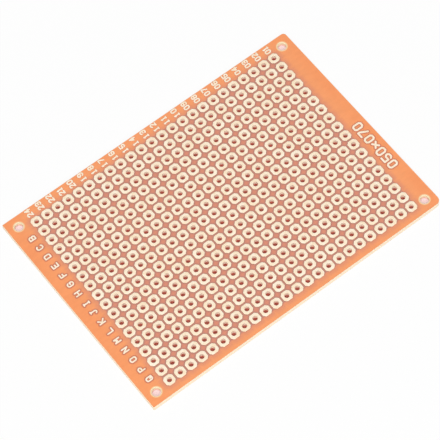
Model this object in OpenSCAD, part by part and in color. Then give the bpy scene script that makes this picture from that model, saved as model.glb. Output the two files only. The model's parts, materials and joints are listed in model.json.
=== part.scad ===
// Prototype board: a punched phenolic-paper sheet with a grid of tinned solder pads on its upper face.
// The sheet lies flat on Z = 0, centred on the origin, with its long side along X.
// Column 1 is at the +X end and row 1 is on the +Y side.

/* [Pad grid] */
// Distance between neighbouring pad centres, both ways
pad_pitch = 2.54; // [2:0.01:5.08]
// Number of pad columns along the board
pad_columns = 24; // [2:1:40]
// Number of pad rows across the board
pad_rows = 18; // [2:1:40]
// Clear gap between the flats of neighbouring pads
pad_gap = 0.4; // [0.2:0.05:0.8]
// Length that each pad corner takes off its two sides
pad_corner = 0.5; // [0.1:0.05:0.7]
// Thickness of a pad, foil and tin together
pad_thickness = 0.08; // [0.03:0.01:0.3]
// Diameter of the lead hole through each pad and the sheet
lead_hole_d = 1; // [0.6:0.05:1.3]

/* [Sheet] */
// Thickness of the laminate sheet
sheet_thickness = 1.2; // [0.6:0.1:3.2]
// From the last column's pad centres to the end of the sheet that holds the row marks
row_mark_margin = 5.74; // [4.8:0.02:20]
// From the first column's pad centres to the other end of the sheet
plain_end_margin = 5.34; // [4.8:0.02:20]
// From the first row's pad centres to the long edge that holds the column marks
column_mark_margin = 3.56; // [2:0.02:20]
// From the last row's pad centres to the other long edge
plain_edge_margin = 2.76; // [2:0.02:20]
// Radius of the two corners at the end that holds the row marks
marked_corner_r = 0.1; // [0.05:0.05:2]
// Radius of the worn corner beside the first pad of the first column
first_corner_r = 0.75; // [0.05:0.05:2]
// Radius of the worn corner beside the last pad of the first column
last_corner_r = 1.2; // [0.05:0.05:2]

/* [Corner holes] */
// Diameter of the four screw holes
screw_hole_d = 1.8; // [1.2:0.1:3]
// From a screw hole's centre to each of the two nearest edges
screw_hole_inset = 2.35; // [1.8:0.05:3]

/* [Hidden] */
$fn = 64;

// How far a cut runs past the face that it opens
overrun = 0.1;

// Width of a pad, flat to flat
pad_width = pad_pitch - pad_gap;

// Spread of the pad grid, centre to centre
grid_length = (pad_columns - 1) * pad_pitch;
grid_width = (pad_rows - 1) * pad_pitch;

// Outline of the sheet
sheet_length = row_mark_margin + grid_length + plain_end_margin;
sheet_width = plain_edge_margin + grid_width + column_mark_margin;

// Centre of the first pad of the first column
first_pad_x = sheet_length / 2 - plain_end_margin;
first_pad_y = sheet_width / 2 - column_mark_margin;

// Screw holes, from the middle of the sheet
screw_hole_x = sheet_length / 2 - screw_hole_inset;
screw_hole_y = sheet_width / 2 - screw_hole_inset;

// Each corner as its side in X, its side in Y and its radius
CORNERS = [
    [-1, -1, marked_corner_r],
    [-1, 1, marked_corner_r],
    [1, 1, first_corner_r],
    [1, -1, last_corner_r]
];

laminate_colour = [0.97, 0.62, 0.42];
tin_colour = [0.98, 0.93, 0.84];

// Place of a column or a row, counted from 1
function column_x(column) = first_pad_x - (column - 1) * pad_pitch;
function row_y(row) = first_pad_y - (row - 1) * pad_pitch;

// A count as two figures
function two_figures(count) = count < 10 ? str("0", count) : str(count);
function column_node(column) = str("pad_column_", two_figures(column));

// What a rounded corner takes off the square one, with the corner at the origin and the sheet at -X, -Y
module corner_waste(r) {
    difference() {
        translate([-r, -r]) square(r + overrun);
        translate([-r, -r]) circle(r);
    }
}

module sheet_outline() {
    difference() {
        square([sheet_length, sheet_width], center = true);
        for (corner = CORNERS) {
            scale([corner[0], corner[1]])
                translate([sheet_length / 2, sheet_width / 2])
                corner_waste(corner[2]);
        }
    }
}

module lead_holes() {
    for (column = [1 : pad_columns], row = [1 : pad_rows]) {
        translate([column_x(column), row_y(row)]) circle(d = lead_hole_d);
    }
}

module screw_holes() {
    for (side_x = [-1, 1], side_y = [-1, 1]) {
        translate([side_x * screw_hole_x, side_y * screw_hole_y]) circle(d = screw_hole_d);
    }
}

// The sheet, with every hole punched square through it
module laminate() {
    color(laminate_colour)
    linear_extrude(sheet_thickness)
    difference() {
        sheet_outline();
        lead_holes();
        screw_holes();
    }
}

// A square with its corners cut, flats towards the neighbouring pads
module pad_outline() {
    side = pad_width / 2;
    flat_end = side - pad_corner;
    polygon([
        [side, flat_end], [flat_end, side], [-flat_end, side], [-side, flat_end],
        [-side, -flat_end], [-flat_end, -side], [flat_end, -side], [side, -flat_end]
    ]);
}

// One pad round its lead hole, flat on the sheet
module pad() {
    linear_extrude(pad_thickness)
    difference() {
        pad_outline();
        circle(d = lead_hole_d);
    }
}

// One column of separate pads
module pad_column(column) {
    color(tin_colour)
    for (row = [1 : pad_rows]) {
        translate([column_x(column), row_y(row), sheet_thickness]) pad();
    }
}

laminate();
for (column = [1 : pad_columns]) {
    pad_column(column);
}
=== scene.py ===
"""Looks of a prototype board: a punched phenolic sheet, its tinned pads and its foil index marks.

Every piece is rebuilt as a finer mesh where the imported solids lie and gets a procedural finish.
Lengths are in metres, in the frame of the solids: the sheet lies on Z = 0 with its pads upwards.
"""

import json
import logging
import math
from dataclasses import dataclass
from enum import Enum
from functools import partial, reduce
from typing import Any, Iterable, Mapping, Optional, Sequence, Union

import bpy
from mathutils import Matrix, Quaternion, Vector

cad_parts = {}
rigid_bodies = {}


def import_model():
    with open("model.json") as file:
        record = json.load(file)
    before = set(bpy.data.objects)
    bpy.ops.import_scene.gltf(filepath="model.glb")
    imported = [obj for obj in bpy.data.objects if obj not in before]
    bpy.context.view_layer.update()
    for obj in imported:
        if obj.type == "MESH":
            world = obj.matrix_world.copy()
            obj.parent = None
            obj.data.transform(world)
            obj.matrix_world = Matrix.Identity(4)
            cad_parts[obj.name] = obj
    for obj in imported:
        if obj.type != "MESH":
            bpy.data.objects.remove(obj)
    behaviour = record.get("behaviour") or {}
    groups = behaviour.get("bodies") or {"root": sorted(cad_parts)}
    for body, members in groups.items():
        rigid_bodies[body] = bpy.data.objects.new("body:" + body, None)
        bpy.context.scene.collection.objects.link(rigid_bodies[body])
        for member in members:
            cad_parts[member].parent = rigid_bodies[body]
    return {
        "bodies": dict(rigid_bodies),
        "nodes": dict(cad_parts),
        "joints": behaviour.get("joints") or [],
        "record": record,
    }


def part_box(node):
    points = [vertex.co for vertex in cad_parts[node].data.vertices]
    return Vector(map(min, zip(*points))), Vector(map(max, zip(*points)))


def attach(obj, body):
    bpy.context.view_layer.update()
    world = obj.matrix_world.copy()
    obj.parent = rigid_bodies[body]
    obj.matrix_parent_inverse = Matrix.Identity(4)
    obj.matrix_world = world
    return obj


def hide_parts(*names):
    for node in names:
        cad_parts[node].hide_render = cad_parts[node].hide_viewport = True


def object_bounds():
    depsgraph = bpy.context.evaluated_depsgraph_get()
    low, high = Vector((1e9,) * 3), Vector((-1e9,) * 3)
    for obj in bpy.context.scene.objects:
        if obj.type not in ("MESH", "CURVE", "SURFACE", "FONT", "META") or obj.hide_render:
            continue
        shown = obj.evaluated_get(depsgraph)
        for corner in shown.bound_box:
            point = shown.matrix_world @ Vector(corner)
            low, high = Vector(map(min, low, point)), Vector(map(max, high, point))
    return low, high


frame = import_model()
CAD_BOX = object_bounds()

LOG = logging.getLogger("prototype_board")
MM = 0.001
BODY = "root"
SHEET_NODE = "laminate"
COLUMN_NODE = "pad_column_{:02d}"
COLUMN_PREFIX = "pad_column_"
TONE = "pad_tone"

# Points nearer than these are one: where parts of a piece meet, and where strokes of a mark cross
WELD = 0.002 * MM
SLIVER = 0.0001 * MM
# An edge that turns more than this stays sharp
SHARP = math.radians(32)

# Numbers of the sockets that share their names with others on their node
MIX_FACTOR, MIX_FIRST, MIX_SECOND, MIX_RESULT = 0, 6, 7, 2
RANDOM_LOW, RANDOM_HIGH, RANDOM_SEED, RANDOM_RESULT = 2, 3, 8, 1

# Ends of a ramp
RISE = (0.0, 1.0)
FALL = (1.0, 0.0)
# Parts of the paper's noise that make its clouds, its fibres and its sheen
CLOUD_SPAN = (0.35, 0.68)
FIBRE_SPAN = (0.3, 0.7)
SHEEN_SPAN = (0.25, 0.75)

Socket = bpy.types.NodeSocket
Material = bpy.types.Material
Key = Union[int, str]


@dataclass(frozen=True)
class Colour:
    """A colour as a screen shows it, each part from 0 to 255."""

    red: int
    green: int
    blue: int

    def linear(self) -> tuple[float, float, float, float]:
        """The colour as a shader takes it, opaque."""
        return (*(self._decode(part / 255) for part in (self.red, self.green, self.blue)), 1.0)

    @staticmethod
    def _decode(share: float) -> float:
        """One part of a screen colour, from 0 to 1, as a share of light."""
        return share / 12.92 if share <= 0.04045 else ((share + 0.055) / 1.055) ** 2.4


Value = Union[float, int, bool, str, Sequence[float], Colour, Socket, Material]
Inputs = Mapping[Key, Value]
Sockets = Mapping[str, Socket]
Pair = tuple[Value, Value]


class Slot(Enum):
    """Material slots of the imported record."""

    LAMINATE = "laminate"
    TIN = "tinned_copper"


class Effect(Enum):
    """Surface effects that several finishes share."""

    PAPER = "paper_fibre"
    GRID = "punch_grid"
    TIN = "tin_bloom"


class Side(Enum):
    """Faces of the sheet, each with the test that finds its edge above or below half the thickness."""

    UPPER = "GREATER_THAN"
    LOWER = "LESS_THAN"


@dataclass(frozen=True)
class Noise:
    """Grain of a noise: how many finer layers it has and how strong they are."""

    detail: float
    roughness: float = 0.5


def new_object(name: str, data: bpy.types.ID) -> bpy.types.Object:
    """Puts a new object into the scene.

    Args:
        name: the object's name.
        data: its mesh, lamp or camera.

    Returns:
        The object.
    """
    thing = bpy.data.objects.new(name, data)
    bpy.context.scene.collection.objects.link(thing)
    return thing


def settle(piece: bpy.types.Object, node: Optional[str] = None) -> None:
    """Sets a piece on the body.

    Args:
        piece: the finished piece.
        node: the solid that it takes the place of, if any.
    """
    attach(piece, BODY)
    if node:
        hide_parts(node)


class Graph:
    """Short calls that fill one node tree."""

    def __init__(self, tree: bpy.types.NodeTree) -> None:
        """Keeps the tree that the calls fill."""
        self.tree = tree

    def add(self, kind: str, inputs: Optional[Inputs] = None, **settings: Any) -> bpy.types.Node:
        """Adds a node.

        Args:
            kind: the node's type name.
            inputs: sockets to join or values to set, by name or number.
            **settings: the node's own options.

        Returns:
            The new node.
        """
        node = self.tree.nodes.new(kind)
        for name, value in settings.items():
            setattr(node, name, value)
        for key, value in (inputs or {}).items():
            self.feed(node.inputs[key], value)
        return node

    def out(self, kind: str, inputs: Optional[Inputs] = None, output: Key = 0, **settings: Any) -> Socket:
        """Adds a node and gives one of its outputs, the first unless another is asked for."""
        return self.add(kind, inputs, **settings).outputs[output]

    def feed(self, socket: Socket, value: Value) -> None:
        """Joins a socket to another one, or sets its value.

        Args:
            socket: the input that is fed.
            value: an output, a colour or a plain value.
        """
        if isinstance(value, bpy.types.NodeSocket):
            self.tree.links.new(value, socket)
        else:
            socket.default_value = value.linear() if isinstance(value, Colour) else value

    def maths(self, operation: str, *values: Value) -> Socket:
        """Output of a Math node on the values."""
        return self.out("ShaderNodeMath", dict(enumerate(values)), operation=operation)

    def total(self, *values: Value) -> Socket:
        """Sum of two or more values."""
        return reduce(partial(self.maths, "ADD"), values)

    def product(self, *values: Value) -> Socket:
        """Product of two or more values."""
        return reduce(partial(self.maths, "MULTIPLY"), values)

    def greatest(self, *values: Value) -> Socket:
        """Greatest of two or more values."""
        return reduce(partial(self.maths, "MAXIMUM"), values)

    def less(self, first: Value, second: Value) -> Socket:
        """The first value less the second."""
        return self.maths("SUBTRACT", first, second)

    def length(self, x: Socket, y: Socket) -> Socket:
        """Length of a flat vector."""
        return self.maths("SQRT", self.total(self.product(x, x), self.product(y, y)))

    def combine(self, x: Value, y: Value, z: Value) -> Socket:
        """A vector from its three parts."""
        return self.out("ShaderNodeCombineXYZ", {0: x, 1: y, 2: z})

    def separate(self, vector: Socket) -> tuple[Socket, Socket, Socket]:
        """The three parts of a vector."""
        return tuple(self.add("ShaderNodeSeparateXYZ", {0: vector}).outputs)

    def ramp(self, value: Value, span: Pair, ends: Pair = RISE) -> Socket:
        """A smooth step of the value.

        Args:
            value: what is mapped.
            span: the two values that the step lies between.
            ends: results at the two ends of the span, and beyond them.

        Returns:
            The mapped value.
        """
        inputs = dict(enumerate((value, *span, *ends)))
        return self.out("ShaderNodeMapRange", inputs, interpolation_type="SMOOTHSTEP")

    def here(self) -> Socket:
        """Place of a surface point in the frame of the solids."""
        return self.out("ShaderNodeTexCoord", output="Object")

    def noise(self, place: Socket, scale: Value, grain: Noise) -> Socket:
        """Noise from 0 to 1 at a place."""
        inputs = {"Vector": place, "Scale": scale, "Detail": grain.detail, "Roughness": grain.roughness}
        return self.out("ShaderNodeTexNoise", inputs, "Fac")

    def mix(self, factor: Value, first: Value, second: Value, blend: str = "MIX") -> Socket:
        """Two colours mixed by a factor from 0 to 1."""
        inputs = {MIX_FACTOR: factor, MIX_FIRST: first, MIX_SECOND: second}
        return self.out("ShaderNodeMix", inputs, MIX_RESULT, data_type="RGBA", blend_type=blend)

    def tint(self, colour: Value, shade: Socket) -> Socket:
        """A colour made lighter or darker by a shade."""
        return self.mix(1.0, colour, self.combine(shade, shade, shade), "MULTIPLY")


class GeometryTree(Graph):
    """A geometry node tree with named inputs that turns a base mesh into a finished one."""

    KINDS = {float: "NodeSocketFloat", int: "NodeSocketInt", tuple: "NodeSocketVector",
             Material: "NodeSocketMaterial"}

    def __init__(self, name: str, values: Mapping[str, Value]) -> None:
        """Makes an empty tree.

        Args:
            name: the tree's name.
            values: the named inputs, each with a value of its kind.
        """
        super().__init__(bpy.data.node_groups.new(name, "GeometryNodeTree"))
        interface = self.tree.interface
        interface.new_socket("Geometry", in_out="INPUT", socket_type="NodeSocketGeometry")
        self._sockets = {}
        for label, value in values.items():
            socket = interface.new_socket(label, in_out="INPUT", socket_type=self.KINDS[type(value)])
            self._sockets[label] = socket.identifier
        interface.new_socket("Geometry", in_out="OUTPUT", socket_type="NodeSocketGeometry")
        self._entry = self.add("NodeGroupInput")
        self._exit = self.add("NodeGroupOutput")

    def __getitem__(self, label: str) -> Socket:
        """The socket of a named input inside the tree."""
        return self._entry.outputs[label]

    def end(self, geometry: Socket) -> None:
        """Sends a geometry to the tree's output."""
        self.feed(self._exit.inputs["Geometry"], geometry)

    def pick(self, index: Socket, values: Sequence[Value]) -> Socket:
        """The value whose place in the list is the index.

        Args:
            index: the place, from 0.
            values: the list.

        Returns:
            The value.
        """
        node = self.add("GeometryNodeIndexSwitch", data_type="FLOAT")
        while len(node.index_switch_items) < len(values):
            node.index_switch_items.new()
        for place, value in enumerate((index, *values)):
            self.feed(node.inputs[place], value)
        return node.outputs[0]

    def random(self, low: float, seed: Socket) -> Socket:
        """A random value for each point, from the lowest one to 1."""
        inputs = {RANDOM_LOW: low, RANDOM_HIGH: 1.0, RANDOM_SEED: seed}
        return self.out("FunctionNodeRandomValue", inputs, RANDOM_RESULT, data_type="FLOAT")

    def join(self, *parts: Socket) -> Socket:
        """Geometry of all the parts together.

        Args:
            *parts: the parts.

        Returns:
            The joined geometry.
        """
        node = self.add("GeometryNodeJoinGeometry")
        for part in parts:
            self.tree.links.new(part, node.inputs[0])
        return node.outputs[0]

    def realize(self, geometry: Socket) -> Socket:
        """The geometry with its instances made real."""
        return self.out("GeometryNodeRealizeInstances", {0: geometry})

    def scatter(self, points: Socket, instance: Socket, **inputs: Value) -> Socket:
        """Copies of an instance on the points."""
        return self.out("GeometryNodeInstanceOnPoints", {"Points": points, "Instance": instance, **inputs})

    def weld(self, geometry: Socket, distance: float = WELD) -> Socket:
        """The geometry with the points that meet made one."""
        return self.out("GeometryNodeMergeByDistance", {"Geometry": geometry, "Distance": distance})

    def move(self, geometry: Socket, offset: Value) -> Socket:
        """The geometry shifted by an offset."""
        return self.out("GeometryNodeTransform", {"Geometry": geometry, "Translation": offset})

    def lift(self, geometry: Socket, height: Socket) -> Socket:
        """The geometry shifted up by a height."""
        return self.move(geometry, self.combine(0.0, 0.0, height))

    def dress(self, geometry: Socket, material: Socket) -> Socket:
        """The geometry with a material."""
        return self.out("GeometryNodeSetMaterial", {"Geometry": geometry, "Material": material})

    def ease(self, geometry: Socket) -> Socket:
        """The geometry shaded smooth, but for its sharp edges.

        Args:
            geometry: the geometry.

        Returns:
            The shaded geometry.
        """
        angle = self.out("GeometryNodeInputMeshEdgeAngle", output="Unsigned Angle")
        soft = self.maths("LESS_THAN", angle, SHARP)
        for domain, smooth in (("FACE", True), ("EDGE", soft)):
            inputs = {0: geometry, "Shade Smooth": smooth}
            geometry = self.out("GeometryNodeSetShadeSmooth", inputs, domain=domain)
        return geometry

    def strip(self, around: int, across: int) -> tuple[Socket, Socket, Socket]:
        """A flat strip whose points are to be placed by number.

        Args:
            around: faces along the strip.
            across: points across the strip.

        Returns:
            The strip, each point's step along it and each point's loop across it.
        """
        grid = self.out("GeometryNodeMeshGrid", {"Vertices X": around + 1, "Vertices Y": across})
        index = self.out("GeometryNodeInputIndex")
        step = self.maths("FLOOR", self.maths("DIVIDE", index, float(across)))
        return grid, step, self.maths("MODULO", index, float(across))

    def wrap(self, strip: Socket, angle: Socket, radius: Socket, height: Socket) -> Socket:
        """A strip wrapped round the Z axis and closed.

        Args:
            strip: the flat strip.
            angle: each point's angle.
            radius: each point's distance from the axis.
            height: each point's height.

        Returns:
            The wrapped strip.
        """
        x = self.product(radius, self.maths("COSINE", angle))
        y = self.product(radius, self.maths("SINE", angle))
        placed = {"Geometry": strip, "Position": self.combine(x, y, height)}
        return self.weld(self.out("GeometryNodeSetPosition", placed))

    def run(self, name: str, base: bpy.types.Mesh, values: Mapping[str, Value]) -> bpy.types.Object:
        """Makes a piece from the tree.

        Args:
            name: the piece's name.
            base: mesh that the tree starts from.
            values: what each named input is set to.

        Returns:
            The piece, with a plain mesh and no modifier.
        """
        piece = new_object(name, base)
        modifier = piece.modifiers.new(self.tree.name, "NODES")
        modifier.node_group = self.tree
        for label, value in values.items():
            modifier[self._sockets[label]] = value
        depsgraph = bpy.context.evaluated_depsgraph_get()
        mesh = bpy.data.meshes.new_from_object(piece.evaluated_get(depsgraph), depsgraph=depsgraph)
        piece.modifiers.remove(modifier)
        piece.data = mesh
        mesh.name = name
        bpy.data.meshes.remove(base)
        for place in reversed(range(len(mesh.materials))):
            if mesh.materials[place] is None:
                mesh.materials.pop(index=place)
        return piece


@dataclass(frozen=True)
class Layout:
    """Places and sizes that the solids give, and the shape of a pad."""

    sheet_low: Vector
    sheet_high: Vector
    pitch: float
    columns: int
    rows: int
    first_x: float
    first_y: float
    pad_side: float
    pad_height: float
    lead_radius: float
    screw_radius: float
    screw_x: float
    screw_y: float
    pad_corner: float = 0.5 * MM

    @classmethod
    def from_frame(cls, packed: Mapping[str, Any]) -> "Layout":
        """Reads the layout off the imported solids.


        Returns:
            The layout.
        """
        columns = sum(node.startswith(COLUMN_PREFIX) for node in packed["nodes"])
        sheet_low, sheet_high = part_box(SHEET_NODE)
        low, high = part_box(COLUMN_NODE.format(1))
        last_low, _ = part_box(COLUMN_NODE.format(columns))
        pitch = (low.x - last_low.x) / (columns - 1)
        width = high.x - low.x
        mounts = {mount["name"]: mount["dims"] for mount in packed["record"]["mounts"]}
        screws = mounts["corner_holes"]
        return cls(
            sheet_low=sheet_low,
            sheet_high=sheet_high,
            pitch=pitch,
            columns=columns,
            rows=round((high.y - low.y - width) / pitch) + 1,
            first_x=(low.x + high.x) / 2,
            first_y=high.y - width / 2,
            pad_side=width / 2,
            pad_height=high.z - low.z,
            lead_radius=mounts["lead_hole"]["r_mm"] * MM,
            screw_radius=screws["hole_r_mm"] * MM,
            screw_x=screws["spacing_x_mm"] / 2 * MM,
            screw_y=screws["spacing_y_mm"] / 2 * MM,
        )

    @property
    def top(self) -> float:
        """Height of the sheet's upper face."""
        return self.sheet_high.z

    @property
    def pad_diagonal(self) -> float:
        """From a pad's centre to the flats across its corners."""
        return (2 * self.pad_side - self.pad_corner) / math.sqrt(2)

    def column_x(self, column: int) -> float:
        """Place of a column, counted from 1."""
        return self.first_x - (column - 1) * self.pitch

    def row_y(self, row: int) -> float:
        """Place of a row, counted from 1."""
        return self.first_y - (row - 1) * self.pitch


class Effects:
    """The shader node groups of the shared effects, each built once."""

    FIBRE = Noise(5.0, 0.62)
    CLOUD = Noise(3.0)
    SPECK = Noise(1.0)
    SPECK_SCALE = 1.7
    SPECK_SPAN = (0.7, 0.78)
    BLOOM = Noise(2.0)
    FROST = Noise(4.0, 0.6)
    FROST_SCALE = 9.0
    SHADE_SHARES = (0.92, 0.08)
    HEIGHT_SHARES = (0.7, 0.3)

    def __init__(self, layout: Layout) -> None:
        """Builds the groups.

        Args:
            layout: places of the pads and holes.
        """
        self._groups = {
            Effect.PAPER: self._paper(),
            Effect.GRID: self._grid(layout),
            Effect.TIN: self._tin(),
        }

    def place(self, graph: Graph, effect: Effect, inputs: Optional[Inputs] = None) -> Sockets:
        """Puts an effect into a material.

        Args:
            graph: the material's graph.
            effect: which effect.
            inputs: the effect's inputs in this material.

        Returns:
            The effect's outputs.
        """
        node = graph.add("ShaderNodeGroup", node_tree=self._groups[effect])
        for key, value in (inputs or {}).items():
            graph.feed(node.inputs[key], value)
        return node.outputs

    @staticmethod
    def _start(effect: Effect, inputs: Mapping[str, float],
               outputs: Iterable[str]) -> tuple[Graph, Any, Any]:
        """An empty group.

        Args:
            effect: which effect it is for.
            inputs: named inputs and their usual values.
            outputs: named outputs.

        Returns:
            The group's graph, the sockets that its inputs come from and those that its outputs go to.
        """
        tree = bpy.data.node_groups.new(effect.value, "ShaderNodeTree")
        for label, usual in inputs.items():
            socket = tree.interface.new_socket(label, in_out="INPUT", socket_type="NodeSocketFloat")
            socket.default_value = usual
        for label in outputs:
            tree.interface.new_socket(label, in_out="OUTPUT", socket_type="NodeSocketFloat")
        graph = Graph(tree)
        return graph, graph.add("NodeGroupInput").outputs, graph.add("NodeGroupOutput").inputs

    @classmethod
    def _paper(cls) -> bpy.types.NodeTree:
        """Pressed paper: fibres that run one way, soft clouds and a few dark specks.

        Returns:
            The group.
        """
        inputs = {"Fibre Scale": 900.0, "Cloud Scale": 90.0, "Stretch": 0.4}
        graph, entry, leave = cls._start(Effect.PAPER, inputs, ("Fibre", "Cloud", "Speck"))
        place = graph.here()
        x, y, z = graph.separate(place)
        drawn = graph.combine(graph.product(x, entry["Stretch"]), y, z)
        speck = graph.noise(place, graph.product(entry["Fibre Scale"], cls.SPECK_SCALE), cls.SPECK)
        graph.feed(leave["Fibre"], graph.noise(drawn, entry["Fibre Scale"], cls.FIBRE))
        graph.feed(leave["Cloud"], graph.noise(place, entry["Cloud Scale"], cls.CLOUD))
        graph.feed(leave["Speck"], graph.ramp(speck, cls.SPECK_SPAN))
        return graph.tree

    @classmethod
    def _grid(cls, layout: Layout) -> bpy.types.NodeTree:
        """Distances to the nearest pad's edge and hole, the field's edge and the nearest screw hole.

        Args:
            layout: places of the pads and holes.

        Returns:
            The group.
        """
        outputs = ("Pad Edge", "Field Edge", "Lead Centre", "Screw Centre")
        graph, _, leave = cls._start(Effect.GRID, {}, outputs)
        x, y, _ = graph.separate(graph.here())
        offsets = []
        outside = []
        for place, first, count in ((x, layout.first_x, layout.columns), (y, layout.first_y, layout.rows)):
            steps = graph.maths("DIVIDE", graph.less(first, place), layout.pitch)
            nearest = graph.maths("MINIMUM", graph.greatest(graph.maths("ROUND", steps), 0.0), count - 1.0)
            away = graph.maths("ABSOLUTE", graph.less(steps, nearest))
            offsets.append(graph.product(away, layout.pitch))
            half = (count - 1) / 2
            beyond = graph.less(graph.maths("ABSOLUTE", graph.less(steps, half)), half)
            outside.append(graph.less(graph.product(beyond, layout.pitch), layout.pad_side))
        flat = graph.less(graph.greatest(*offsets), layout.pad_side)
        diagonal = graph.product(graph.total(*offsets), math.sqrt(0.5))
        screw = [
            graph.less(graph.maths("ABSOLUTE", place), centre)
            for place, centre in ((x, layout.screw_x), (y, layout.screw_y))
        ]
        graph.feed(leave["Pad Edge"], graph.greatest(flat, graph.less(diagonal, layout.pad_diagonal)))
        graph.feed(leave["Field Edge"], graph.greatest(*outside))
        graph.feed(leave["Lead Centre"], graph.length(*offsets))
        graph.feed(leave["Screw Centre"], graph.length(*screw))
        return graph.tree

    @classmethod
    def _tin(cls) -> bpy.types.NodeTree:
        """Dipped tin: a soft bloom that differs from pad to pad, a fine frost and small pits.

        Returns:
            The group.
        """
        inputs = {"Tone": 0.5, "Scale": 1300.0}
        graph, entry, leave = cls._start(Effect.TIN, inputs, ("Shade", "Frost", "Height"))
        place = graph.here()
        bloom = graph.noise(place, entry["Scale"], cls.BLOOM)
        frost = graph.noise(place, graph.product(entry["Scale"], cls.FROST_SCALE), cls.FROST)
        blends = (("Shade", (bloom, entry["Tone"]), cls.SHADE_SHARES),
                  ("Height", (bloom, frost), cls.HEIGHT_SHARES))
        for label, parts, shares in blends:
            graph.feed(leave[label], graph.total(*map(graph.product, parts, shares)))
        graph.feed(leave["Frost"], frost)
        return graph.tree


class Skin(Graph):
    """A material under way, with short calls that dress its Principled shader."""

    def __init__(self, name: str, effects: Effects) -> None:
        """Makes a material with only its shader.

        Args:
            name: the material's name.
            effects: the effects that it can take.
        """
        self.material = bpy.data.materials.new(name)
        self.material.use_nodes = True
        super().__init__(self.material.node_tree)
        self._effects = effects
        self._shader = next(node for node in self.tree.nodes if node.type == "BSDF_PRINCIPLED")

    def effect(self, effect: Effect, inputs: Optional[Inputs] = None) -> Sockets:
        """Outputs of an effect, with some of its inputs set."""
        return self._effects.place(self, effect, inputs)

    def set(self, label: str, value: Value) -> None:
        """Feeds an input of the shader."""
        self.feed(self._shader.inputs[label], value)

    def relief(self, height: Socket, depth: float, share: float) -> None:
        """Gives the surface fine relief, as deep at full height as asked, of which a share shows."""
        inputs = {"Height": height, "Distance": depth, "Strength": share}
        self.set("Normal", self.out("ShaderNodeBump", inputs, "Normal"))


@dataclass(frozen=True)
class LaminateFace:
    """Upper face of the sheet: lacquered paper, with painted shade among the pads and along each pad's foot.
    """

    margin: Colour = Colour(254, 160, 101)
    cloudy: Colour = Colour(252, 155, 97)
    washed: Colour = Colour(252, 161, 104)
    # Painted shade: the face darker among the pads, and darkest in a line along each pad's foot
    pooled_shade: Colour = Colour(212, 136, 116)
    pad_shade_line: Colour = Colour(172, 123, 108)
    whitened: Colour = Colour(255, 222, 172)
    wash_span: Pair = (1.28 * MM, 3.2 * MM)
    # How far the painted shade among the pads and along their feet reaches from each pad's edge
    shade_pool_span: Pair = (0.13 * MM, 1.3 * MM)
    shade_line_span: Pair = (0.0, 0.28 * MM)
    field_span: Pair = (-0.35 * MM, 0.0)
    field_shares: Pair = (1.0, 0.5)
    whitened_span: Pair = (0.08 * MM, 0.42 * MM)
    fibre_shades: Pair = (0.965, 1.03)
    sheen: Pair = (0.38, 0.55)
    relief_depth: float = 0.008 * MM
    relief_share: float = 0.4

    def colour(self, graph: Graph, paper: Sockets, grid: Sockets, layout: Layout) -> Socket:
        """The face's colour at each point.

        Args:
            graph: the material's graph.
            paper: outputs of the paper effect.
            grid: outputs of the grid effect.
            layout: sizes of the holes.

        Returns:
            The colour.
        """
        edge = grid["Pad Edge"]
        share = graph.ramp(grid["Field Edge"], self.field_span, self.field_shares)
        rim = graph.less(grid["Screw Centre"], layout.screw_radius)
        layers = (
            (graph.ramp(edge, self.wash_span, FALL), self.washed),
            # Painted shade among the pads and along each pad's foot, weaker outside the field of pads
            (graph.product(graph.ramp(edge, self.shade_pool_span, FALL), share), self.pooled_shade),
            (graph.product(graph.ramp(edge, self.shade_line_span, FALL), share), self.pad_shade_line),
            (graph.ramp(rim, self.whitened_span, FALL), self.whitened),
        )
        colour = graph.mix(graph.ramp(paper["Cloud"], CLOUD_SPAN), self.margin, self.cloudy)
        for factor, layer in layers:
            colour = graph.mix(factor, colour, layer)
        return graph.tint(colour, graph.ramp(paper["Fibre"], FIBRE_SPAN, self.fibre_shades))

    def make(self, effects: Effects, layout: Layout) -> Material:
        """Builds the material.

        Args:
            effects: the shared effects.
            layout: sizes of the holes.

        Returns:
            The material.
        """
        skin = Skin("laminate_face", effects)
        paper, grid = skin.effect(Effect.PAPER), skin.effect(Effect.GRID)
        skin.set("Base Color", self.colour(skin, paper, grid, layout))
        skin.set("Roughness", skin.ramp(paper["Fibre"], SHEEN_SPAN, self.sheen))
        skin.relief(paper["Fibre"], self.relief_depth, self.relief_share)
        return skin.material


@dataclass(frozen=True)
class PaintedShadeSheet:
    """Painted shade along the foil marks: a thin sheet in the face's colour, darker where it stands higher,
    next to the foil.
    """

    height: float
    face: LaminateFace
    # Painted shade where the sheet stands highest, next to the foil
    deep: Colour = Colour(194, 108, 86)
    sheen: Pair = (0.38, 0.5)

    def make(self, effects: Effects, layout: Layout) -> Material:
        """Builds the material.

        Args:
            effects: the shared effects.
            layout: height of the sheet.

        Returns:
            The material.
        """
        skin = Skin("pooled_lacquer", effects)
        paper, grid = skin.effect(Effect.PAPER), skin.effect(Effect.GRID)
        _, _, z = skin.separate(skin.here())
        # Darker towards the foil: painted shade
        depth = skin.ramp(z, (layout.top, layout.top + self.height))
        skin.set("Base Color", skin.mix(depth, self.face.colour(skin, paper, grid, layout), self.deep))
        skin.set("Roughness", skin.ramp(paper["Fibre"], SHEEN_SPAN, self.sheen))
        return skin.material


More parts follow.
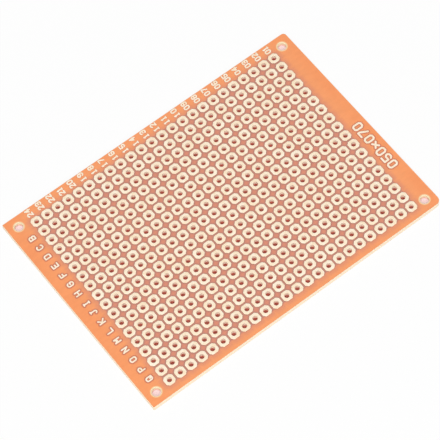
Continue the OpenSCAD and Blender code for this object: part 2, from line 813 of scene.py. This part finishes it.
@dataclass(frozen=True)
class LaminateBack:
    """Underside of the sheet: bare laminate, paler where the punch broke out round each hole."""

    sheet: Colour = Colour(236, 150, 98)
    cloudy: Colour = Colour(222, 136, 88)
    broken: Colour = Colour(247, 192, 148)
    stretch: float = 0.3
    halo: float = 0.3 * MM
    halo_shares: Pair = (0.85, 0.0)
    unevenness: float = 0.2 * MM
    fibre_shades: Pair = (0.92, 1.06)
    sheen: Pair = (0.48, 0.66)
    relief_depth: float = 0.015 * MM
    relief_share: float = 0.6

    def make(self, effects: Effects, layout: Layout) -> Material:
        """Builds the material.

        Args:
            effects: the shared effects.
            layout: sizes of the holes.

        Returns:
            The material.
        """
        skin = Skin("laminate_back", effects)
        paper, grid = skin.effect(Effect.PAPER, {"Stretch": self.stretch}), skin.effect(Effect.GRID)
        colour = skin.mix(skin.ramp(paper["Cloud"], CLOUD_SPAN), self.sheet, self.cloudy)
        uneven = skin.product(paper["Fibre"], self.unevenness)
        for label, radius in (("Lead Centre", layout.lead_radius), ("Screw Centre", layout.screw_radius)):
            halo = skin.ramp(skin.less(grid[label], uneven), (radius, radius + self.halo), self.halo_shares)
            colour = skin.mix(halo, colour, self.broken)
        skin.set("Base Color", skin.tint(colour, skin.ramp(paper["Fibre"], FIBRE_SPAN, self.fibre_shades)))
        skin.set("Roughness", skin.ramp(paper["Fibre"], SHEEN_SPAN, self.sheen))
        skin.relief(paper["Fibre"], self.relief_depth, self.relief_share)
        return skin.material


@dataclass(frozen=True)
class CutWall:
    """A wall through the sheet: torn paper plies, from one colour at the upper face to another below; in the
    holes this is painted shade, darker down the wall.
    """

    name: str
    upper: Colour
    lower: Colour
    pale_depth: float = 0.2 * MM
    fibre_scale: float = 1800.0
    ply: float = 0.16 * MM
    waviness: float = 1.4
    half_ply: float = 0.5
    ply_shades: Pair = (0.94, 1.04)
    speck_shade: float = -0.12
    sheen: Pair = (0.62, 0.8)
    relief_depth: float = 0.02 * MM
    relief_share: float = 0.6

    def make(self, effects: Effects, layout: Layout) -> Material:
        """Builds the material.

        Args:
            effects: the shared effects.
            layout: heights of the sheet's faces.

        Returns:
            The material.
        """
        skin = Skin(self.name, effects)
        _, _, z = skin.separate(skin.here())
        paper = skin.effect(Effect.PAPER, {"Fibre Scale": self.fibre_scale, "Stretch": 1.0})
        # Darker towards the bottom: in the holes, painted shade
        depth = skin.ramp(z, (layout.top - self.pale_depth, layout.sheet_low.z))
        wavy = skin.total(skin.maths("DIVIDE", z, self.ply), skin.product(paper["Fibre"], self.waviness))
        plies = skin.maths("PINGPONG", wavy, self.half_ply)
        ply_span = (0.0, self.half_ply)
        specks = skin.product(paper["Speck"], self.speck_shade)
        shade = skin.total(skin.ramp(plies, ply_span, self.ply_shades), specks)
        skin.set("Base Color", skin.tint(skin.mix(depth, self.upper, self.lower), shade))
        skin.set("Roughness", skin.ramp(plies, ply_span, self.sheen))
        skin.relief(skin.total(plies, paper["Fibre"]), self.relief_depth, self.relief_share)
        return skin.material


@dataclass(frozen=True)
class Tin:
    """Tinned foil under a thin flux lacquer."""

    name: str
    pale: Colour = Colour(253, 240, 218)
    warm: Colour = Colour(249, 228, 196)
    span: Pair = (0.3, 0.7)
    metallic: float = 0.6
    sheen: Pair = (0.34, 0.52)
    relief_depth: float = 0.012 * MM
    relief_share: float = 0.5

    def make(self, effects: Effects) -> Material:
        """Builds the material.

        Args:
            effects: the shared effects.

        Returns:
            The material.
        """
        skin = Skin(self.name, effects)
        tone = skin.out("ShaderNodeAttribute", output="Fac", attribute_name=TONE)
        tin = skin.effect(Effect.TIN, {"Tone": tone})
        skin.set("Base Color", skin.mix(skin.ramp(tin["Shade"], self.span), self.pale, self.warm))
        skin.set("Roughness", skin.ramp(tin["Frost"], self.span, self.sheen))
        skin.set("Metallic", self.metallic)
        skin.relief(tin["Height"], self.relief_depth, self.relief_share)
        return skin.material


@dataclass
class Sheet:
    """The punched laminate sheet."""

    layout: Layout
    marked_corner: float = 0.1 * MM
    first_corner: float = 0.75 * MM
    last_corner: float = 1.2 * MM
    corner_steps: int = 6
    edge_break: float = 0.04 * MM
    break_out: float = 0.06 * MM
    rim_break: float = 0.08 * MM
    lead_sides: int = 20
    screw_sides: int = 40

    def build(self, finishes: Mapping[str, Material]) -> bpy.types.Object:
        """Makes the sheet and sets it in place of its solid.

        Args:
            finishes: materials of the Face, the Back and the Punched, Drilled and Sheared walls.

        Returns:
            The sheet.
        """
        layout = self.layout
        centre_x = (layout.column_x(1) + layout.column_x(layout.columns)) / 2
        centre_y = (layout.row_y(1) + layout.row_y(layout.rows)) / 2
        values = {
            "Columns": layout.columns,
            "Rows": layout.rows,
            "Grid Length": (layout.columns - 1) * layout.pitch,
            "Grid Width": (layout.rows - 1) * layout.pitch,
            "Grid Centre": (centre_x, centre_y, 0.0),
            "Lead Radius": layout.lead_radius,
            "Screw Length": 2 * layout.screw_x,
            "Screw Width": 2 * layout.screw_y,
            "Screw Radius": layout.screw_radius,
            "Thickness": layout.top,
            "Break-out": self.break_out,
            "Rim Break": self.rim_break,
            **finishes,
        }
        piece = self._tree(values).run("laminate_sheet", self._outline(), values)
        settle(piece, SHEET_NODE)
        return piece

    def _loop(self, inset: float, height: float) -> list[Vector]:
        """The sheet's outline, anticlockwise, drawn in from the edge.

        Args:
            inset: how far in.
            height: how high.

        Returns:
            The outline's points.
        """
        high = self.layout.sheet_high
        corners = ((1, 1, self.first_corner), (-1, 1, self.marked_corner),
                   (-1, -1, self.marked_corner), (1, -1, self.last_corner))
        points = []
        for quarter, (side_x, side_y, radius) in enumerate(corners):
            centre = Vector((side_x * (high.x - radius), side_y * (high.y - radius), height))
            for step in range(self.corner_steps + 1):
                angle = math.pi / 2 * (quarter + step / self.corner_steps)
                points.append(centre + (radius - inset) * Vector((math.cos(angle), math.sin(angle), 0.0)))
        return points

    def _outline(self) -> bpy.types.Mesh:
        """The sheet's outer wall, open above and below, with its two edges broken.

        Returns:
            The wall's mesh.
        """
        top, broken = self.layout.top, self.edge_break
        levels = ((broken, top), (0.0, top - broken), (0.0, broken), (broken, 0.0))
        loops = [self._loop(inset, height) for inset, height in levels]
        count = len(loops[0])
        faces = [
            ((level + 1) * count + point, (level + 1) * count + (point + 1) % count,
             level * count + (point + 1) % count, level * count + point)
            for level in range(len(loops) - 1) for point in range(count)
        ]
        mesh = bpy.data.meshes.new("sheet_outline")
        mesh.from_pydata([point for loop in loops for point in loop], [], faces)
        return mesh

    def _tree(self, values: Mapping[str, Value]) -> GeometryTree:
        """The tree that punches the sheet: hole walls on two grids of points, and the faces between them.

        Args:
            values: the tree's named inputs.

        Returns:
            The tree.
        """
        tree = GeometryTree("punched_sheet", values)
        top, lip, lead, screw = (
            tree[label] for label in ("Thickness", "Break-out", "Lead Radius", "Screw Radius"))
        lead_points = tree.move(tree.out("GeometryNodeMeshGrid", {
            "Size X": tree["Grid Length"], "Size Y": tree["Grid Width"],
            "Vertices X": tree["Columns"], "Vertices Y": tree["Rows"],
        }), tree["Grid Centre"])
        screw_points = tree.out("GeometryNodeMeshGrid", {
            "Size X": tree["Screw Length"], "Size Y": tree["Screw Width"], "Vertices X": 2, "Vertices Y": 2})
        lead_mouth, screw_mouth = tree.total(lead, lip), tree.total(screw, lip)
        screw_rim = tree.total(screw, tree["Rim Break"])
        rim_foot = tree.less(top, tree["Rim Break"])
        lead_wall = self._hole(tree, self.lead_sides, ((lead, top), (lead, lip), (lead_mouth, 0.0)))
        screw_wall = self._hole(tree, self.screw_sides, (
            (screw_rim, top), (screw, rim_foot), (screw, lip), (screw_mouth, 0.0)))
        holes = (lead_points, screw_points)
        upper = self._cap(tree, Side.UPPER, holes, (lead, screw_rim))
        lower = self._cap(tree, Side.LOWER, holes, (lead_mouth, screw_mouth))
        parts = {
            "Sheared": tree["Geometry"],
            "Punched": tree.realize(tree.scatter(lead_points, lead_wall)),
            "Drilled": tree.realize(tree.scatter(screw_points, screw_wall)),
            "Face": tree.lift(upper, top),
            "Back": tree.out("GeometryNodeFlipFaces", {"Mesh": lower}),
        }
        dressed = [tree.dress(part, tree[label]) for label, part in parts.items()]
        tree.end(tree.ease(tree.weld(tree.join(*dressed))))
        return tree

    @staticmethod
    def _hole(tree: GeometryTree, sides: int, profile: Sequence[Pair]) -> Socket:
        """The wall of one hole.

        Args:
            tree: the tree that gets it.
            sides: flat sides round the hole.
            profile: radius and height of each loop, from the top down.

        Returns:
            The wall's geometry.
        """
        strip, step, loop = tree.strip(sides, len(profile))
        radius, height = (tree.pick(loop, values) for values in zip(*profile))
        return tree.wrap(strip, tree.product(step, math.tau / sides), radius, height)

    def _cap(self, tree: GeometryTree, side: Side, holes: Sequence[Socket],
             radii: Sequence[Socket]) -> Socket:
        """One face of the sheet, flat on Z = 0, with its holes open.

        Args:
            tree: the tree that gets it.
            side: which face it is.
            holes: points of the lead holes and of the screw holes.
            radii: radius of each kind of hole at this face.

        Returns:
            The face's geometry.
        """
        half = tree.product(tree["Thickness"], 0.5)
        _, _, height = tree.separate(tree.out("GeometryNodeInputPosition"))
        single = tree.maths("COMPARE", tree.out("GeometryNodeInputMeshEdgeNeighbors"), 1.0, 0.1)
        rim = tree.product(tree.maths(side.value, height, half), single)
        edge = tree.out("GeometryNodeMeshToCurve", {"Mesh": tree["Geometry"], "Selection": rim})
        rings = []
        for points, radius, sides in zip(holes, radii, (self.lead_sides, self.screw_sides)):
            ring = tree.out("GeometryNodeCurvePrimitiveCircle", {"Resolution": sides, "Radius": radius})
            rings.append(tree.realize(tree.scatter(points, ring)))
        return tree.out("GeometryNodeFillCurve", {"Curve": tree.join(edge, *rings)})


@dataclass
class Pads:
    """The tinned pads, one piece for each column."""

    layout: Layout
    sides: int = 16
    loops: int = 6
    shoulder_share: float = 0.985
    shoulder_height_share: float = 0.88
    crown_share: float = 0.94
    lip: float = 0.02 * MM
    lip_height_share: float = 0.98
    lowest_share: float = 0.86
    seed: int = 11
    tone_shift: float = 1000.0

    def build(self, tin: Material) -> list[bpy.types.Object]:
        """Makes the columns and sets each in place of its solids.

        Args:
            tin: the pads' finish.

        Returns:
            The columns, the first one first.
        """
        layout = self.layout
        values = {
            "First Pad": (layout.first_x, layout.first_y, layout.top),
            "Rows": layout.rows,
            "Pitch": layout.pitch,
            "Side": layout.pad_side,
            "Corner": layout.pad_corner,
            "Hole Radius": layout.lead_radius,
            "Height": layout.pad_height,
            "Seed": self.seed,
            "Tin": tin,
        }
        tree = self._tree(values)
        pieces = []
        for column in range(1, layout.columns + 1):
            values["First Pad"] = (layout.column_x(column), layout.first_y, layout.top)
            values["Seed"] = self.seed + column
            piece = tree.run(f"tinned_pads_{column:02d}", bpy.data.meshes.new("no_base"), values)
            settle(piece, COLUMN_NODE.format(column))
            pieces.append(piece)
        return pieces

    def _tree(self, values: Mapping[str, Value]) -> GeometryTree:
        """The tree that sets one pad on each point of a column.

        Args:
            values: the tree's named inputs.

        Returns:
            The tree.
        """
        tree = GeometryTree("pad_column", values)
        points = tree.out("GeometryNodeMeshLine", {
            "Count": tree["Rows"], "Start Location": tree["First Pad"],
            "Offset": tree.combine(0.0, tree.product(tree["Pitch"], -1.0), 0.0)})
        low = tree.random(self.lowest_share, tree["Seed"])
        pads = tree.scatter(points, self._pad(tree), Scale=tree.combine(1.0, 1.0, low))
        tone = tree.random(0.0, tree.total(tree["Seed"], self.tone_shift))
        toned = tree.out("GeometryNodeStoreNamedAttribute", {
            "Geometry": pads, "Name": TONE, "Value": tone}, data_type="FLOAT", domain="INSTANCE")
        tree.end(tree.dress(tree.ease(tree.realize(toned)), tree["Tin"]))
        return tree

    def _pad(self, tree: GeometryTree) -> Socket:
        """One pad: a closed ring that is eight-sided outside and round inside, with a low crown.

        Args:
            tree: the tree that gets it.

        Returns:
            The pad's geometry.
        """
        side, height, hole = tree["Side"], tree["Height"], tree["Hole Radius"]
        flat_end = tree.less(side, tree["Corner"])
        bearing = tree.maths("ARCTAN2", flat_end, side)
        corner = tree.length(side, flat_end)
        diagonal = tree.product(tree.total(side, flat_end), math.sqrt(0.5))
        strip, step, loop = tree.strip(self.sides, self.loops)
        quarter = self.sides / 4
        place = tree.maths("MODULO", step, quarter)
        turn = tree.product(tree.maths("FLOOR", tree.maths("DIVIDE", step, quarter)), math.pi / 2)
        across = tree.pick(place, [0.0, bearing, math.pi / 4, tree.less(math.pi / 2, bearing)])
        outside = tree.total(turn, across)
        inside = tree.product(step, math.tau / self.sides)
        outer = tree.pick(place, [side, corner, diagonal, corner])
        foot = (outside, outer, 0.0)
        shoulder_height = tree.product(height, self.shoulder_height_share)
        # Angle, radius and height of each loop, over the crown and through the hole back to the foot
        profile = (
            foot,
            (outside, tree.product(outer, self.shoulder_share), shoulder_height),
            (outside, tree.product(outer, self.crown_share), height),
            (inside, tree.total(hole, self.lip), tree.product(height, self.lip_height_share)),
            (inside, hole, 0.0),
            foot,
        )
        return tree.wrap(strip, *(tree.pick(loop, values) for values in zip(*profile)))


# Strokes of each figure on a grid four wide and six high; each pair of digits is a point, across then up
STROKES: dict[str, tuple[str, ...]] = {
    "0": ("01 05 16 36 45 41 30 10 01",),
    "1": ("05 16 10", "00 20"),
    "2": ("05 16 36 45 44 00 40",),
    "3": ("05 16 36 45 44 33 13", "33 42 41 30 10 01"),
    "4": ("30 36 02 42",),
    "5": ("46 06 03 33 42 41 30 10 01",),
    "6": ("45 36 16 05 01 10 30 41 42 33 03",),
    "7": ("06 46 45 10",),
    "8": ("13 04 05 16 36 45 44 33 13", "13 02 01 10 30 41 42 33"),
    "9": ("01 10 30 41 45 36 16 05 04 13 43",),
    "B": ("00 06 36 45 44 33 03", "33 42 41 30 00"),
    "C": ("45 36 16 05 01 10 30 41",),
    "D": ("00 06 36 45 41 30 00",),
    "E": ("46 06 00 40", "03 33"),
    "F": ("46 06 00", "03 33"),
    "G": ("45 36 16 05 01 10 30 41 43 23",),
    "H": ("00 06", "40 46", "03 43"),
    "I": ("06 26", "16 10", "00 20"),
    "J": ("26 46", "36 31 20 10 01"),
    "K": ("00 06", "46 02", "13 40"),
    "L": ("06 00 40",),
    "M": ("00 06 23 46 40",),
    "N": ("00 06 40 46",),
    "O": ("01 05 16 36 45 41 30 10 01",),
    "P": ("00 06 36 45 44 33 03",),
    "Q": ("01 05 16 36 45 41 30 10 01", "22 40"),
    "x": ("01 44", "41 04"),
}
STROKE_COLUMNS = 4
STROKE_ROWS = 6
# Directions in which the marks are read and in which their figures stand up
MARK_ALONG = Vector((0.0, 1.0, 0.0))
MARK_UP = Vector((-1.0, 0.0, 0.0))


@dataclass(frozen=True)
class MarkSize:
    """Sizes of one kind of foil mark, and how far the thin sheet of painted shade along it reaches."""

    height: float
    width: float
    advance: float
    stroke: float
    shade_reach: float

    def mesh(self, words: Iterable[tuple[str, Vector]]) -> bpy.types.Mesh:
        """The middle lines of all the strokes, each straight run an edge of its own.

        Args:
            words: the words, each with its middle.

        Returns:
            The lines' mesh.
        """
        ends: list[Vector] = []
        for word, middle in words:
            for place, figure in enumerate(word):
                shift = (place - (len(word) - 1) / 2) * self.advance
                for stroke in STROKES[figure]:
                    ends += self._runs(stroke, middle + shift * MARK_ALONG)
        mesh = bpy.data.meshes.new("mark_lines")
        mesh.from_pydata(ends, [(start, start + 1) for start in range(0, len(ends), 2)], [])
        return mesh

    def _runs(self, stroke: str, middle: Vector) -> list[Vector]:
        """Straight runs of one stroke.

        Args:
            stroke: its points on the figure's grid.
            middle: middle of the figure.

        Returns:
            Both ends of each run, one run after the other.
        """
        wide, tall = self.width - self.stroke, self.height - self.stroke
        points = [
            middle
            + (int(step[0]) / STROKE_COLUMNS - 0.5) * wide * MARK_ALONG
            + (int(step[1]) / STROKE_ROWS - 0.5) * tall * MARK_UP
            for step in stroke.split()
        ]
        return [end for run in zip(points, points[1:]) for end in run]


@dataclass
class Marks:
    """The foil marks on the sheet: column numbers, row letters and a plain size mark."""

    layout: Layout
    foil_height: float = 0.06 * MM
    # Height of the thin sheets of painted shade along the marks
    shade_height: float = 0.016 * MM
    knot_sides: int = 16
    number_size: MarkSize = MarkSize(
        height=1.36 * MM, width=0.92 * MM, advance=1.0 * MM, stroke=0.3 * MM, shade_reach=0.1 * MM)
    letter_size: MarkSize = MarkSize(
        height=1.48 * MM, width=1.06 * MM, advance=1.3 * MM, stroke=0.3 * MM, shade_reach=0.42 * MM)
    figure_size: MarkSize = MarkSize(
        height=2.2 * MM, width=1.5 * MM, advance=1.8 * MM, stroke=0.4 * MM, shade_reach=0.36 * MM)
    number_offset: float = 2.45 * MM
    number_drift: float = 0.005 * MM
    letter_offset: float = 2.85 * MM
    first_letter: str = "B"
    first_lettered_row: int = 2
    figures: str = "050x070"
    figure_offset: tuple[float, float] = (3.13 * MM, -28.23 * MM)

    def _lines(self) -> dict[str, tuple[MarkSize, list[tuple[str, Vector]]]]:
        """The three kinds of mark.

        Returns:
            Each kind's name, with its size and its words, each word with its middle.
        """
        layout = self.layout
        number_y = layout.first_y + self.number_offset
        letter_x = layout.column_x(layout.columns) - self.letter_offset
        figure_x, figure_y = self.figure_offset
        numbers = [
            (f"{column:02d}", (layout.column_x(column) - column * self.number_drift, number_y))
            for column in range(1, layout.columns + 1)
        ]
        letters = [
            (chr(ord(self.first_letter) + place), (letter_x, layout.row_y(row)))
            for place, row in enumerate(range(self.first_lettered_row, layout.rows))
        ]
        figures = [(self.figures, (layout.first_x + figure_x, layout.first_y + figure_y))]
        lines = {
            "column_numbers": (self.number_size, numbers),
            "row_letters": (self.letter_size, letters),
            "size_mark": (self.figure_size, figures),
        }
        return {
            name: (size, [(word, Vector((*middle, layout.top))) for word, middle in words])
            for name, (size, words) in lines.items()
        }

    def build(self, tin: Material, pooled_shade: Material) -> list[bpy.types.Object]:
        """Makes the marks and the thin sheets of painted shade that lie along them, and sets them on the
        sheet.

        Args:
            tin: the foil's finish.
            pooled_shade: the finish of the sheets of painted shade.

        Returns:
            The pieces, two for each kind of mark.
        """
        foil = {"Stroke": 0.0, "Flare": 0.0, "Height": self.foil_height, "Finish": tin}
        shade_sheet = {"Stroke": 0.0, "Flare": 0.0, "Height": self.shade_height, "Finish": pooled_shade}
        tree = self._tree(foil)
        pieces = []
        for name, (size, words) in self._lines().items():
            foil["Stroke"] = shade_sheet["Stroke"] = size.stroke
            shade_sheet["Flare"] = size.shade_reach
            # The second piece of each kind is its thin sheet of painted shade
            for label, values, slot in ((name, foil, Slot.TIN), (f"{name}_lacquer", shade_sheet, Slot.LAMINATE)):
                piece = tree.run(label, size.mesh(words), values)
                settle(piece)
                pieces.append(piece)
        return pieces

    def _tree(self, values: Mapping[str, Value]) -> GeometryTree:
        """The tree that makes flat strokes from straight runs, round at ends and bends, wider at their foot.

        Args:
            values: the tree's named inputs.

        Returns:
            The tree.
        """
        tree = GeometryTree("flat_strokes", values)
        stroke, height = tree["Stroke"], tree["Height"]
        half = tree.product(height, 0.5)
        foot = tree.total(stroke, tree.product(tree["Flare"], 2.0))
        line = tree.out("GeometryNodeMeshToCurve", {"Mesh": tree["Geometry"]})
        level = tree.out("GeometryNodeSetCurveNormal", {"Curve": line}, mode="Z_UP")
        # The sweep turns the profile over, so its upper side is the foot
        profile = tree.out("GeometryNodeCurvePrimitiveQuadrilateral", {
            "Bottom Width": stroke, "Top Width": foot, "Offset": 0.0, "Height": height}, mode="TRAPEZOID")
        bars = tree.out("GeometryNodeCurveToMesh", {
            "Curve": level, "Profile Curve": profile, "Fill Caps": True})
        island = tree.out("GeometryNodeInputMeshIsland", output="Island Index")
        runs = tree.out("GeometryNodeSplitToInstances", {
            "Geometry": bars, "Group ID": island}, domain="FACE")
        knot = tree.out("GeometryNodeMeshCone", {
            "Vertices": self.knot_sides, "Radius Top": tree.product(stroke, 0.5),
            "Radius Bottom": tree.product(foot, 0.5), "Depth": height}, "Mesh")
        knots = tree.scatter(tree.weld(tree["Geometry"]), tree.lift(knot, tree.product(half, -1.0)))
        union = tree.out("GeometryNodeMeshBoolean", {
            "Mesh 2": tree.join(runs, knots)}, operation="UNION", solver="MANIFOLD")
        whole = tree.lift(tree.weld(tree.realize(union), SLIVER), half)
        tree.end(tree.dress(tree.ease(whole), tree["Finish"]))
        return tree


@dataclass(frozen=True)
class Bearing:
    """Where a lamp or the camera stands: degrees round from -Y towards +X, degrees up, and how far off."""

    azimuth: float
    elevation: float
    distance: float

    def direction(self) -> Vector:
        """Direction from the board to this place."""
        turn, rise = math.radians(self.azimuth), math.radians(self.elevation)
        return Vector((math.sin(turn) * math.cos(rise), -math.cos(turn) * math.cos(rise), math.sin(rise)))

    def aim(self, thing: bpy.types.Object, target: Vector, roll: float = 0.0) -> None:
        """Sets a thing at this place, looking at a target.

        Args:
            thing: the lamp or the camera.
            target: what it looks at.
            roll: degrees that it is turned about its view.
        """
        back = self.direction()
        thing.location = target + back * self.distance
        thing.rotation_mode = "QUATERNION"
        level = (-back).to_track_quat("-Z", "Y")
        thing.rotation_quaternion = level @ Quaternion((0.0, 0.0, 1.0), -math.radians(roll))


@dataclass
class Stage:
    """Floor, light and camera."""

    layout: Layout
    effects: Effects
    floor_half: float = 1.0
    floor_drop: float = 0.02 * MM
    open_reach: float = 0.08 * MM
    floor_colour: Colour = Colour(250, 250, 249)
    # Painted shadow with a painted red bounce on the floor under the board, seen through the lead holes
    painted_shadow_colour: Colour = Colour(200, 126, 114)
    # Painted light: the floor under the screw holes, pink and partly glowing
    glow_colour: Colour = Colour(253, 220, 225)
    sky_colour: Colour = Colour(255, 255, 255)
    painted_shadow_inset: tuple[float, float] = (3.6 * MM, 1.0 * MM)
    glow_reach: float = 2.0
    backdrop_share: float = 0.9
    # Share of the floor under the screw holes that glows white to the camera: painted light
    hole_share: float = 0.25
    sky_level: float = 0.5
    key: Bearing = Bearing(-32.0, 54.0, 1.0)
    key_level: float = 0.53
    key_size: float = 0.8
    camera: Bearing = Bearing(-31.27, 62.01, 497.6 * MM)
    camera_aim: tuple[float, float] = (-1.108 * MM, -1.065 * MM)
    camera_roll: float = 6.863
    lens: float = 210.54
    clip: tuple[float, float] = (0.01, 10.0)

    def build(self) -> None:
        """Makes the whole stage."""
        for make in (self._floor, self._sky, self._key, self._camera):
            make()
        bpy.context.scene.view_settings.view_transform = "Standard"

    @staticmethod
    def _empty(owner: Union[Material, bpy.types.World]) -> Graph:
        """A graph for a material or a world, with no nodes yet.

        Args:
            owner: the material or the world.

        Returns:
            The graph.
        """
        owner.use_nodes = True
        owner.node_tree.nodes.clear()
        return Graph(owner.node_tree)

    @staticmethod
    def _seen(graph: Graph) -> Socket:
        """1 on rays that show the background: from the camera, or through a mirror or a window."""
        path = graph.add("ShaderNodeLightPath").outputs
        return graph.greatest(*(path[f"Is {kind} Ray"] for kind in ("Camera", "Glossy", "Transmission")))

    def _floor(self) -> None:
        """Makes a pale floor that shows as a white backdrop away from the board, and only from above, with a
        painted shadow under the board and painted light under the screw holes.
        """
        half = self.floor_half
        mesh = bpy.data.meshes.new("floor")
        corners = [(-half, -half), (half, -half), (half, half), (-half, half)]
        mesh.from_pydata([(x, y, -self.floor_drop) for x, y in corners], [], [(0, 1, 2, 3)])
        floor = new_object("floor", mesh)
        material = bpy.data.materials.new("floor")
        graph = self._empty(material)
        place = graph.separate(graph.here())
        past = [
            graph.total(graph.less(graph.maths("ABSOLUTE", part), high), inset)
            for part, high, inset in zip(place, self.layout.sheet_high, self.painted_shadow_inset)
        ]
        # Painted shadow under the board, and painted light under the screw holes
        under = graph.maths("LESS_THAN", graph.greatest(*past), 0.0)
        centre = self.effects.place(graph, Effect.GRID)["Screw Centre"]
        through = graph.maths("LESS_THAN", centre, self.glow_reach * self.layout.screw_radius)
        backdrop = graph.product(graph.less(1.0, graph.greatest(under, through)), self.backdrop_share)
        # Under the screw holes the floor glows: painted light
        share = graph.greatest(backdrop, graph.product(through, self.hole_share))
        colour = graph.mix(through, self.floor_colour, self.glow_colour)
        paint = graph.out("ShaderNodeBsdfDiffuse", {"Color": graph.mix(under, colour, self.painted_shadow_colour)})
        white = graph.out("ShaderNodeEmission", {"Strength": 1.0})
        shown = graph.product(self._seen(graph), share)
        pale = graph.out("ShaderNodeMixShader", {0: shown, 1: paint, 2: white})
        below = graph.out("ShaderNodeNewGeometry", output="Backfacing")
        reach = graph.out("ShaderNodeLightPath", output="Ray Length")
        gap = graph.greatest(below, graph.maths("LESS_THAN", reach, self.open_reach))
        clear = graph.out("ShaderNodeBsdfTransparent")
        surface = graph.out("ShaderNodeMixShader", {0: gap, 1: pale, 2: clear})
        graph.add("ShaderNodeOutputMaterial", {"Surface": surface})
        mesh.materials.append(material)

    def _sky(self) -> None:
        """Makes even light from all round, seen as white."""
        world = bpy.data.worlds.new("studio")
        bpy.context.scene.world = world
        graph = self._empty(world)
        level = graph.ramp(self._seen(graph), RISE, (self.sky_level, 1.0))
        light = graph.out("ShaderNodeBackground", {"Color": self.sky_colour, "Strength": level})
        graph.add("ShaderNodeOutputWorld", {"Surface": light})

    def _key(self) -> None:
        """Makes a large soft lamp above the near edge, as strong as its level asks on a flat white card."""
        lamp = bpy.data.lights.new("key", "AREA")
        lamp.size = self.key_size
        lamp.energy = self.key_level * math.pi ** 2 * self.key.distance ** 2 / self.key.direction().z
        self.key.aim(new_object("key", lamp), Vector())

    def _camera(self) -> None:
        """Makes the camera, at the photograph's angle and distance."""
        lens = bpy.data.cameras.new("camera")
        lens.lens = self.lens
        lens.clip_start, lens.clip_end = self.clip
        camera = new_object("camera", lens)
        self.camera.aim(camera, Vector((*self.camera_aim, CAD_BOX[1].z)), self.camera_roll)
        bpy.context.scene.camera = camera


def main() -> None:
    """Builds the board, piece by piece."""
    logging.basicConfig(level=logging.INFO, format="%(name)s: %(message)s")
    layout = Layout.from_frame(frame)
    effects = Effects(layout)
    Stage(layout, effects).build()
    marks = Marks(layout)
    face = LaminateFace()
    finishes = {
        "Face": face,
        "Back": LaminateBack(),
        # Hole walls run from pale at the top to darker below: painted shade, deepest in the lead holes
        "Punched": CutWall(
            "punched_wall", Colour(255, 238, 220), Colour(246, 122, 102), pale_depth=0.3 * MM),
        "Drilled": CutWall("drilled_wall", Colour(255, 244, 208), Colour(247, 206, 192)),
        "Sheared": CutWall("sheared_edge", Colour(255, 240, 214), Colour(255, 228, 196)),
    }
    # Finish of the thin sheets of painted shade along the marks' feet
    pooled_shade = PaintedShadeSheet(marks.shade_height, face).make(effects, layout)
    pieces = [Sheet(layout).build({name: finish.make(effects, layout) for name, finish in finishes.items()})]
    pieces += Pads(layout).build(Tin("tinned_pad").make(effects))
    pieces += marks.build(Tin("tinned_mark").make(effects), pooled_shade)
    for piece in pieces:
        LOG.info("%s: %d faces", piece.name, len(piece.data.polygons))


if __name__ == "__main__":
    main()
